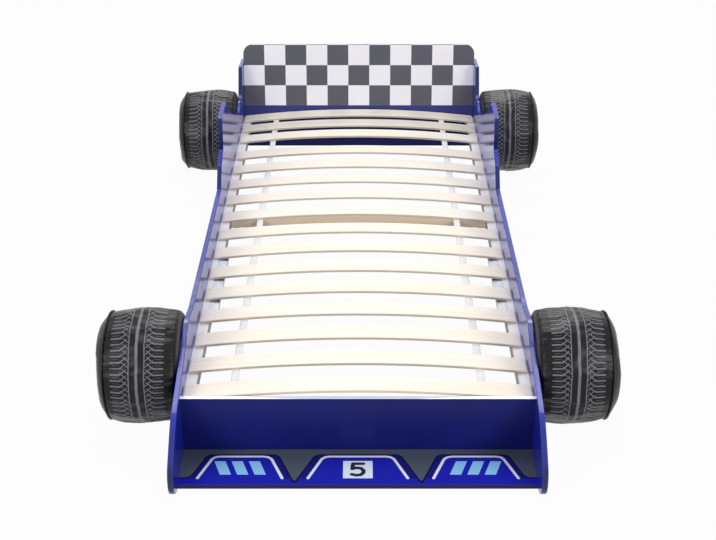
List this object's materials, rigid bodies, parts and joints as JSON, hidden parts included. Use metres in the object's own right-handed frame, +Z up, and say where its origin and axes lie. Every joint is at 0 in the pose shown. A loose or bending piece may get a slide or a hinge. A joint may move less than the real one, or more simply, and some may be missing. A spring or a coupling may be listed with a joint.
{
  "type": "racing-car bed for children",
  "caption": "Low racing-car bed for a child: shaped side panels, leaning chequered headboard, sprung slats on side ledges and stuffed soft tyres.",
  "frame": {"origin": "on the floor, midway between the side panels and midway along them", "axes": "+X to the right seen from the nose, +Y from the nose to the pillow end, +Z up"},
  "size_m": [1.3928, 2.347, 0.4629],
  "materials": {
    "side_board": "board faced with glossy blue film",
    "cross_board": "board faced with glossy dark blue film",
    "wing_board": "board faced with glossy blue film and a grey printed band",
    "chequered_board": "board faced with printed chequered film",
    "slat_wood": "satin birch plywood",
    "ledge_wood": "planed pine",
    "beam_wood": "planed pine",
    "wheel_board_wood": "plain chipboard",
    "dowel_wood": "fluted beech",
    "tyre_cover": "printed leatherette over soft stuffing",
    "webbing": "woven webbing",
    "angle_steel": "zinc-plated sheet",
    "fitting_steel": "zinc-plated"
  },
  "bodies": {
    "root": {"cam_bolts": "fitting_steel", "cam_locks": "fitting_steel", "crossbeam": "beam_wood", "crossbeam_screws": "fitting_steel", "crossbeam_stirrups": "angle_steel", "dowels": "dowel_wood", "footboard": "cross_board", "front_wing": "wing_board", "head_panel": "cross_board", "headboard": "chequered_board", "ledge_joint_left": "angle_steel", "ledge_joint_right": "angle_steel", "ledge_joint_screws": "fitting_steel", "ledge_left_front": "ledge_wood", "ledge_left_rear": "ledge_wood", "ledge_right_front": "ledge_wood", "ledge_right_rear": "ledge_wood", "ledge_screws": "fitting_steel", "side_panel_left": "side_board", "side_panel_right": "side_board", "slat_01": "slat_wood", "slat_02": "slat_wood", "slat_03": "slat_wood", "slat_04": "slat_wood", "slat_05": "slat_wood", "slat_06": "slat_wood", "slat_07": "slat_wood", "slat_08": "slat_wood", "slat_09": "slat_wood", "slat_10": "slat_wood", "slat_11": "slat_wood", "slat_12": "slat_wood", "slat_13": "slat_wood", "slat_14": "slat_wood", "slat_15": "slat_wood", "slat_16": "slat_wood", "slat_screws": "fitting_steel", "strap_left": "webbing", "strap_right": "webbing", "tyre_front_left": "tyre_cover", "tyre_front_right": "tyre_cover", "tyre_rear_left": "tyre_cover", "tyre_rear_right": "tyre_cover", "wheel_board_front_left": "wheel_board_wood", "wheel_board_front_right": "wheel_board_wood", "wheel_board_rear_left": "wheel_board_wood", "wheel_board_rear_right": "wheel_board_wood", "wheel_bolts": "fitting_steel", "wheel_inserts": "fitting_steel"}
  },
  "joints": []
}
